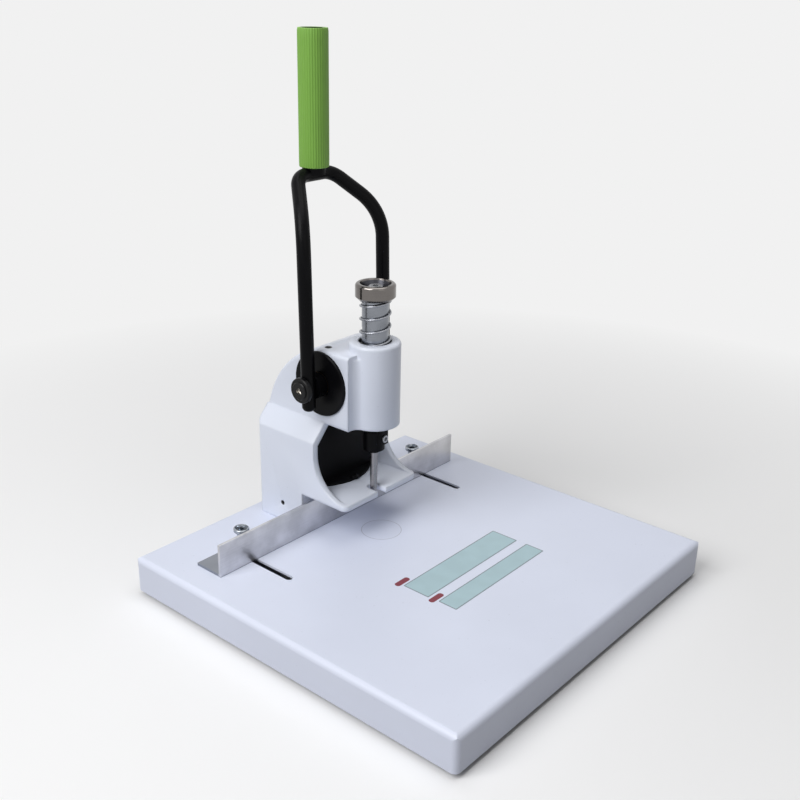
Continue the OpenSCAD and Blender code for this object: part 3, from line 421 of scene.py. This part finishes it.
# Width of the grey rim round a sticker
RIM = 0.9


def within(place, span, inset):
    """1 where a place lies inside a span in millimetres, drawn in at both ends."""
    return past(place, span[0] + inset, FINE_EDGE) * short_of(place, span[1] - inset, FINE_EDGE)


def sticker_face(name, sheet, rim, x_span, y_span):
    """A pale printed film with a thin grey rim, left blank."""
    f = Finish(name)
    x, y = f.axes()[:2]
    sheet_x, sheet_y = within(x, x_span, RIM), within(y, y_span, RIM)
    cloud = f.noise(60.0, 2.0)
    warm = tuple(c * 0.94 for c in sheet)
    f.set(Base_Color=f.blend(sheet_x * sheet_y, rim, f.blend(cloud.step(0.35, 0.65), warm, sheet)),
          Roughness=0.34 + 0.06 * (cloud - 0.5), Coat_Weight=0.15)
    return f.bump(f.noise(1500.0, 1.0), 0.000004).material


WHITE = (0.715, 0.755, 0.885)
CAST_WHITE = (0.725, 0.765, 0.865)
FINISHES = {
    "base_paint": powder_coat("base_paint", WHITE, 0.0011, 0.000030, 0.42, seam=pad_seam),
    "casting_paint": powder_coat("casting_paint", CAST_WHITE, 0.0016, 0.000060, 0.36,
                                 bore_shade=casting_bore_shade, rounding=0.003),
    "foot_rubber": plastic("foot_rubber", (0.012, 0.012, 0.013), 0.75, shine=0.2),
    "pad_plastic": plastic("pad_plastic", WHITE, 0.45, 0.0006, 0.00001, seam=pad_seam),
    "zinc_steel": turned("zinc_steel", (0.40, 0.41, 0.43), 0.34),
    "black_steel": black_satin("black_steel", (0.0020, 0.0020, 0.0026), 0.32, 0.08),
    "cover_black": black_satin("cover_black", (0.0024, 0.0024, 0.0032), 0.55, 0.1),
    "fence_aluminium": brushed("fence_aluminium", (0.66, 0.66, 0.69), 0.33, 0, shade_and_dull=fence_shade),
    "screw_chrome": turned("screw_chrome", (0.42, 0.45, 0.49), 0.16, shade_and_dull=screw_dish_shade),
    "gear_steel": turned("gear_steel", (0.42, 0.43, 0.45), 0.30, axis=0),
    "bush_bronze": turned("bush_bronze", (0.55, 0.36, 0.16), 0.30, axis=0),
    "spindle_steel": turned("spindle_steel", (0.27, 0.285, 0.315), 0.22, worn=0.75),
    "spring_steel": turned("spring_steel", (0.34, 0.35, 0.38), 0.24, lines=300.0),
    # the cap's chrome has a dark, warm tint as a painted dark reflection
    "cap_chrome": turned("cap_chrome", (0.20, 0.185, 0.175), 0.12, shade_and_dull=cap_recess_shade),
    "punch_steel": turned("punch_steel", (0.32, 0.31, 0.32), 0.26),
    "grip_plastic": grip_green("grip_plastic", (0.200, 0.425, 0.058)),
    "plug_plastic": plastic("plug_plastic", (0.006, 0.006, 0.007), 0.55, shine=0.15),
}
# Nodes whose finish differs from their slot's
OWN_FINISHES = {"fork_bolts": bolt_black("bolt_black", (0.0028, 0.0028, 0.0034)),
                "chuck_screw": FINISHES["zinc_steel"]}


# --------------------------------------------------------------------------- pieces

def mesh_object(name, mesh, material):
    obj = bpy.data.objects.new(name, mesh)
    bpy.context.scene.collection.objects.link(obj)
    mesh.materials.clear()
    mesh.materials.append(material)
    return obj


def applied(obj):
    """Turns the object and its modifiers into one plain mesh."""
    graph = bpy.context.evaluated_depsgraph_get()
    mesh = bpy.data.meshes.new_from_object(obj.evaluated_get(graph))
    obj.modifiers.clear()
    obj.data = mesh
    return obj


def smooth(obj):
    """Shades the mesh smooth, but for its sharper edges."""
    for polygon in obj.data.polygons:
        polygon.use_smooth = True
    obj.data.set_sharp_from_angle(angle=math.radians(32.0))
    return obj


def hand_over(obj, body, slot, *nodes):
    """Rides the piece on its body and lets it stand for CAD nodes, which it hides; its slot is not used.
    """
    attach(obj, body)
    if nodes:
        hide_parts(*nodes)


def joined_copy(node):
    """A copy of a CAD node's mesh with its triangles joined and its flats made whole."""
    mesh = frame["nodes"][node].data.copy()
    mesh.materials.clear()
    work = bmesh.new()
    work.from_mesh(mesh)
    bmesh.ops.remove_doubles(work, verts=work.verts, dist=1e-6)
    bmesh.ops.dissolve_limit(work, angle_limit=math.radians(0.4), verts=work.verts, edges=work.edges)
    work.to_mesh(mesh)
    work.free()
    for layer in ("custom_normal", "sharp_face"):
        if layer in mesh.attributes:
            mesh.attributes.remove(mesh.attributes[layer])
    return mesh


def bevelled(obj, width, segments, angle):
    """Rounds the edges that are sharper than an angle, by a width in millimetres."""
    bevel = obj.modifiers.new("edges", "BEVEL")
    bevel.width = width * MM
    bevel.segments = segments
    bevel.limit_method = "ANGLE"
    bevel.angle_limit = math.radians(angle)
    bevel.use_clamp_overlap = True
    return smooth(applied(obj))


def softened(node, name, width, material, segments):
    """The node's own form with its sharp edges rounded."""
    return bevelled(mesh_object(name, joined_copy(node), material), width, segments, 35.0)


def plate(work, rim, height):
    """Adds a flat plate: a face round the rim's points, drawn up by a height in metres."""
    face = work.faces.new([work.verts.new(spot) for spot in rim])
    top = bmesh.ops.extrude_face_region(work, geom=[face])["geom"]
    lift = [v for v in top if isinstance(v, bmesh.types.BMVert)]
    bmesh.ops.translate(work, verts=lift, vec=(0, 0, height))
    bmesh.ops.recalc_face_normals(work, faces=work.faces)


def geometry_tree(name, sizes):
    """A geometry tree with named inputs: {name: (socket type, value)}."""
    tree = bpy.data.node_groups.new(name, "GeometryNodeTree")
    tree.interface.new_socket("Geometry", in_out="OUTPUT", socket_type="NodeSocketGeometry")
    for label, (kind, value) in sizes.items():
        socket = tree.interface.new_socket(label, in_out="INPUT", socket_type=kind)
        if kind != "NodeSocketMaterial":
            socket.default_value = value
    graph = Graph(tree)
    source = tree.nodes.new("NodeGroupInput")
    wires = {label: Wire(graph, source.outputs[label]) for label in sizes}
    return tree, graph, wires


def close_tree(tree, graph, geometry, material):
    """Ends a geometry tree: real geometry in one material."""
    real = graph.add("GeometryNodeRealizeInstances", inputs=[geometry])
    done = graph.add("GeometryNodeSetMaterial", inputs={"Geometry": real, "Material": material})
    out = tree.nodes.new("NodeGroupOutput")
    tree.links.new(done.socket, out.inputs[0])


def grown(name, tree, values, material):
    """Runs a geometry tree with the given input values and keeps its plain mesh."""
    obj = mesh_object(name, bpy.data.meshes.new(name), material)
    modifier = obj.modifiers.new("grow", "NODES")
    modifier.node_group = tree
    for item in tree.interface.items_tree:
        if item.in_out == "INPUT" and item.name in values:
            modifier[item.identifier] = values[item.name]
    return smooth(applied(obj))


def coil_tree():
    """A helical wire: open coils between closed ends, round in section."""
    sizes = {"Turns": ("NodeSocketFloat", 5.0), "End turns": ("NodeSocketFloat", 0.7),
             "Pitch": ("NodeSocketFloat", 0.012), "End pitch": ("NodeSocketFloat", 0.0012),
             "Radius": ("NodeSocketFloat", 0.0128), "Wire radius": ("NodeSocketFloat", 0.00095),
             "Low": ("NodeSocketFloat", 0.206), "Middle Y": ("NodeSocketFloat", 0.06),
             "Top angle": ("NodeSocketFloat", 3.2), "Points": ("NodeSocketInt", 400),
             "Sides": ("NodeSocketInt", 14), "Material": ("NodeSocketMaterial", None)}
    tree, graph, size = geometry_tree("coil", sizes)
    line = graph.add("GeometryNodeMeshLine", {"mode": "OFFSET"}, {"Count": size["Points"]})
    index = graph.add("GeometryNodeInputIndex")
    turn = index / (size["Points"] - 1) * size["Turns"]
    angle = size["Top angle"] + (turn - size["Turns"]) * math.tau
    open_turns = size["Turns"] - size["End turns"] * 2
    opened = (turn - size["End turns"]).math("MAXIMUM", 0.0).math("MINIMUM", open_turns)
    height = size["Low"] + opened * size["Pitch"] + (turn - opened) * size["End pitch"]
    spot = graph.add("ShaderNodeCombineXYZ", inputs=[
        size["Radius"] * angle.math("COSINE"),
        size["Middle Y"] + size["Radius"] * angle.math("SINE"), height])
    placed = graph.add("GeometryNodeSetPosition", inputs={"Geometry": line, "Position": spot})
    path = graph.add("GeometryNodeMeshToCurve", inputs=[placed])
    ring = graph.add("GeometryNodeCurvePrimitiveCircle",
                     inputs={"Resolution": size["Sides"], "Radius": size["Wire radius"]})
    tube = graph.add("GeometryNodeCurveToMesh",
                     inputs={"Curve": path, "Profile Curve": ring, "Fill Caps": True})
    close_tree(tree, graph, tube, size["Material"])
    return tree


def rib_tree():
    """A ribbed sleeve: a fluted wall, outside and inside, with its ends drawn in."""
    sizes = {"Ribs": ("NodeSocketInt", 36), "Points per rib": ("NodeSocketInt", 8),
             "Radius": ("NodeSocketFloat", 0.0128), "Rib depth": ("NodeSocketFloat", 0.0004),
             "Wall": ("NodeSocketFloat", 0.0025), "Low": ("NodeSocketFloat", 0.353),
             "Length": ("NodeSocketFloat", 0.113), "End round": ("NodeSocketFloat", 0.0009),
             "Middle Y": ("NodeSocketFloat", 0.1275), "Material": ("NodeSocketMaterial", None)}
    tree, graph, size = geometry_tree("ribs", sizes)
    # rows, the share of the way that each lip takes, and the shares between which it turns inside
    rows, lip_share, turn_in, turned_in = 40, 0.06, 0.49, 0.51
    columns = size["Ribs"] * size["Points per rib"]
    sheet = graph.add("GeometryNodeMeshGrid", inputs={
        "Size X": 1.0, "Size Y": 1.0, "Vertices X": columns + 1, "Vertices Y": rows})
    index = graph.add("GeometryNodeInputIndex")
    column = (index / rows).math("FLOOR")
    row = index - column * rows
    angle = column / columns * math.tau
    crest = (angle * size["Ribs"]).math("COSINE")
    # rows run up the outside, round the top end and down the inside; the low end has no closing face
    share = row / (rows - 1)
    outside = 1 - share.step(turn_in, turned_in)
    end = share.math("PINGPONG", 0.5) * 2
    up = end.step(lip_share, 1 - lip_share)
    lip_low = 1 - end.step(0, lip_share)
    lip_high = end.step(1 - lip_share, 1)
    lip = (lip_low + lip_high) * size["End round"]
    outer = size["Radius"] - size["Rib depth"] * (1 - crest) * 0.5 - lip
    inner = size["Radius"] - size["Wall"] + lip * 0.4
    reach = outer * outside + inner * (1 - outside)
    height = size["Low"] + size["End round"] * (1 - lip_low) \
        + up * (size["Length"] - size["End round"] * 2) + lip_high * size["End round"]
    spot = graph.add("ShaderNodeCombineXYZ", inputs=[
        reach * angle.math("COSINE"), size["Middle Y"] + reach * angle.math("SINE"), height])
    placed = graph.add("GeometryNodeSetPosition", inputs={"Geometry": sheet, "Position": spot})
    whole = graph.add("GeometryNodeMergeByDistance", inputs={"Geometry": placed, "Distance": 1e-6})
    close_tree(tree, graph, whole, size["Material"])
    return tree


def throat_plate_with_shadow_lip():
    """The throat's black cover: the CAD plate, with a wide curved black lip along its foot as a painted
    shadow on the foot plate.
    """
    low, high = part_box("throat_cover")
    front = high[1] - COVER_T * MM
    cut_at = (0, front + COVER_CUT * MM, 0)
    mesh = joined_copy("throat_cover")
    work = bmesh.new()
    work.from_mesh(mesh)
    everything = work.verts[:] + work.edges[:] + work.faces[:]
    bmesh.ops.bisect_plane(work, geom=everything, plane_co=cut_at, plane_no=(0, -1, 0), clear_outer=True)
    bmesh.ops.holes_fill(work, edges=[edge for edge in work.edges if edge.is_boundary])
    # the lip is a black sheet standing in for the shadow on the foot plate in front of the cover
    shadow_lip_r = (SHADOW_LIP_HALF ** 2 + SHADOW_LIP_OUT ** 2) / (2 * SHADOW_LIP_OUT) * MM
    reach = math.asin(SHADOW_LIP_HALF * MM / shadow_lip_r)
    turns = [reach * (2 * i / SHADOW_LIP_STEPS - 1) for i in range(SHADOW_LIP_STEPS + 1)]
    rim = [(shadow_lip_r * math.sin(a), front - SHADOW_LIP_OUT * MM + shadow_lip_r * (1 - math.cos(a))) for a in turns]
    rim += [(side * SHADOW_LIP_HALF * MM, front + SHADOW_LIP_LAP * MM) for side in (1, -1)]
    plate(work, [(x, y, low[2]) for x, y in rim], COVER_T * MM)
    work.to_mesh(mesh)
    work.free()
    obj = bevelled(mesh_object("throat_plate_with_shadow_lip", mesh, FINISHES["cover_black"]), 0.4, 2, 30.0)
    hand_over(obj, "frame", "cover_black", "throat_cover")


def spring():
    """The return spring in round wire. It rides on the frame."""
    rise = SPRING_HIGH - SPRING_LOW - 2 * WIRE_R
    open_turns = (rise - 2 * END_TURNS * END_PITCH) / PITCH
    values = {"Turns": open_turns + 2 * END_TURNS, "End turns": END_TURNS, "Pitch": PITCH * MM,
              "End pitch": END_PITCH * MM, "Radius": COIL_R * MM, "Wire radius": WIRE_R * MM,
              "Low": (SPRING_LOW + WIRE_R) * MM, "Middle Y": PUNCH_Y * MM,
              "Top angle": math.radians(COIL_TOP_ANGLE), "Points": 420, "Sides": 14,
              "Material": FINISHES["spring_steel"]}
    obj = grown("return_spring_wire", coil_tree(), values, FINISHES["spring_steel"])
    hand_over(obj, "frame", "spring_steel", "return_spring")
    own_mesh(obj)


def rounded_panel(name, x_span, y_span, corner, low, thick, material):
    """A thin film with rounded corners, lying flat."""
    work = bmesh.new()
    rim = []
    steps = 8
    left, right = x_span[0] + corner, x_span[1] - corner
    front, back = y_span[0] + corner, y_span[1] - corner
    for cx, cy, start in ((right, back, 0), (left, back, 90), (left, front, 180), (right, front, 270)):
        for i in range(steps + 1):
            a = math.radians(start + 90 * i / steps)
            spot = Vector((cx + corner * math.cos(a), cy + corner * math.sin(a), low)) * MM
            rim.append(spot)
    plate(work, rim, thick * MM)
    mesh = bpy.data.meshes.new(name)
    work.to_mesh(mesh)
    work.free()
    return mesh_object(name, mesh, material)


FILM_T = 0.12
# Left-right and front-back spans of the films on the deck
STICKERS = {"sticker_upper": ((-59.0, 67.0), (-52.0, -25.5)),
            "sticker_lower": ((-58.0, 67.5), (-80.0, -61.7))}
TABS = {"sticker_tab_upper": ((-63.0, -47.0), (-23.6, -18.2)),
        "sticker_tab_lower": ((-63.0, -47.0), (-59.8, -54.4))}


def stickers():
    """Blank stickers and their blank red tabs, as thin films."""
    for name, (x_span, y_span) in STICKERS.items():
        face = sticker_face(name, (0.40, 0.555, 0.605), (0.22, 0.27, 0.30), x_span, y_span)
        film = rounded_panel(name, x_span, y_span, 1.0, DECK_Z, FILM_T, face)
        hand_over(film, "frame", "sticker_film")
    red = plastic("sticker_red", (0.215, 0.022, 0.042), 0.38, 0.0008, 0.000004)
    for name, (x_span, y_span) in TABS.items():
        film = rounded_panel(name, x_span, y_span, 2.4, DECK_Z, FILM_T, red)
        hand_over(film, "frame", "sticker_film")


def grip():
    """The grip's sleeve, with finer ribs than the CAD node has."""
    low, high = GRIP_SPAN
    values = {"Ribs": RIBS, "Points per rib": 8, "Radius": GRIP_R * MM, "Rib depth": RIB_DEPTH * MM,
              "Wall": GRIP_WALL * MM, "Low": low * MM, "Length": (high - low) * MM,
              "End round": GRIP_ROUND * MM, "Middle Y": middle("handle_grip", 1) * MM,
              "Material": FINISHES["grip_plastic"]}
    obj = grown("grip_sleeve", rib_tree(), values, FINISHES["grip_plastic"])
    hand_over(obj, "handle", "grip_plastic", "handle_grip")


def dress_nodes():
    """Gives each CAD node that stays its finish."""
    for row in frame["record"]["subparts"]:
        obj = frame["nodes"][row["node"]]
        material = OWN_FINISHES.get(row["node"], FINISHES[row["material_slot"]])
        obj.data.materials.clear()
        obj.data.materials.append(material)


def soft_edges():
    """Pieces whose edges are rounded more than the frame has them."""
    hand_over(softened("frame_casting", "casting_body", 1.1, FINISHES["casting_paint"], 3),
              "frame", "casting_paint", "frame_casting")
    hand_over(softened("back_fence", "fence_rail", 0.35, FINISHES["fence_aluminium"], 2),
              "fence", "fence_aluminium", "back_fence")


# --------------------------------------------------------------------------- stage

CAMERA = {"azimuth": -49.8826, "elevation": 22.0899, "roll": 1.1550, "lens": 48.07,
          "place": (-644.7, -511.3, 511.0)}


def camera():
    data = bpy.data.cameras.new("camera")
    data.lens = CAMERA["lens"]
    data.sensor_width = 36.0
    data.clip_start, data.clip_end = 0.05, 50.0
    obj = bpy.data.objects.new("camera", data)
    bpy.context.scene.collection.objects.link(obj)
    a, e, roll = (math.radians(CAMERA[k]) for k in ("azimuth", "elevation", "roll"))
    back = Vector((math.sin(a) * math.cos(e), -math.cos(a) * math.cos(e), math.sin(e)))
    right = Vector((math.cos(a), math.sin(a), 0))
    up = back.cross(right)
    right, up = (right * math.cos(roll) + up * math.sin(roll),
                 up * math.cos(roll) - right * math.sin(roll))
    turn = Matrix((right, up, back)).transposed()
    obj.matrix_world = Matrix.Translation(Vector(CAMERA["place"]) * MM) @ turn.to_4x4()
    bpy.context.scene.camera = obj


# Brightness of the plain backdrop, and the radii between which the floor fades into it, in metres
BACKDROP = 0.88
FLOOR_FADE = (0.30, 0.85)
# The point at which the lamps aim, in metres
LAMP_AIM = Vector((0.0, 0.02, 0.12))


def stage_floor():
    """A pale floor that fades into the plain backdrop round the drill."""
    mesh = bpy.data.meshes.new("floor")
    work = bmesh.new()
    bmesh.ops.create_grid(work, x_segments=1, y_segments=1, size=12.0)
    work.to_mesh(mesh)
    work.free()
    f = Finish("floor")
    x, y = f.axes()[:2]
    seen = f.seen()
    cloud = f.noise(3.0, 2.0)
    pale = f.blend(cloud, (0.90, 0.90, 0.905), (0.92, 0.92, 0.925))
    f.set(Base_Color=f.blend(seen, (0.34, 0.34, 0.35), pale), Roughness=0.8, Specular_IOR_Level=0.2)
    far = (x * x + y * y).math("SQRT").step(*FLOOR_FADE)
    glow = f.add("ShaderNodeEmission", inputs={"Color": (1.0, 1.0, 1.0, 1.0), "Strength": BACKDROP})
    mixed = f.add("ShaderNodeMixShader", inputs=[far * seen, Wire(f, f.shader.outputs[0]), glow])
    out = next(n for n in f.tree.nodes if n.type == "OUTPUT_MATERIAL")
    f.feed(out.inputs["Surface"], mixed)
    mesh_object("floor", mesh, f.material)


def lamp(name, place, size, power):
    data = bpy.data.lights.new(name, "AREA")
    data.shape = "RECTANGLE"
    data.size, data.size_y = size
    data.energy = power
    obj = bpy.data.objects.new(name, data)
    bpy.context.scene.collection.objects.link(obj)
    obj.location = place
    obj.rotation_euler = (LAMP_AIM - Vector(place)).to_track_quat("-Z", "Y").to_euler()


def lights():
    lamp("key", (-1.75, 0.25, 1.65), (1.5, 1.5), 42.0)
    lamp("top", (0.1, -0.1, 2.2), (1.8, 1.8), 19.0)
    lamp("fill", (-0.6, -2.2, 1.0), (1.4, 1.4), 2.5)
    world = bpy.data.worlds.new("studio")
    bpy.context.scene.world = world
    world.use_nodes = True
    sky = Graph(world.node_tree)
    shader = next(n for n in sky.tree.nodes if n.type == "BACKGROUND")
    ambient = 0.12
    sky.feed(shader.inputs["Color"], (1.0, 1.0, 1.0, 1.0))
    sky.feed(shader.inputs["Strength"], ambient + (BACKDROP - ambient) * sky.seen())


dress_nodes()
soft_edges()
throat_plate_with_shadow_lip()
spring()
grip()
stickers()
camera()
stage_floor()
lights()
bpy.context.scene.view_settings.view_transform = "Standard"
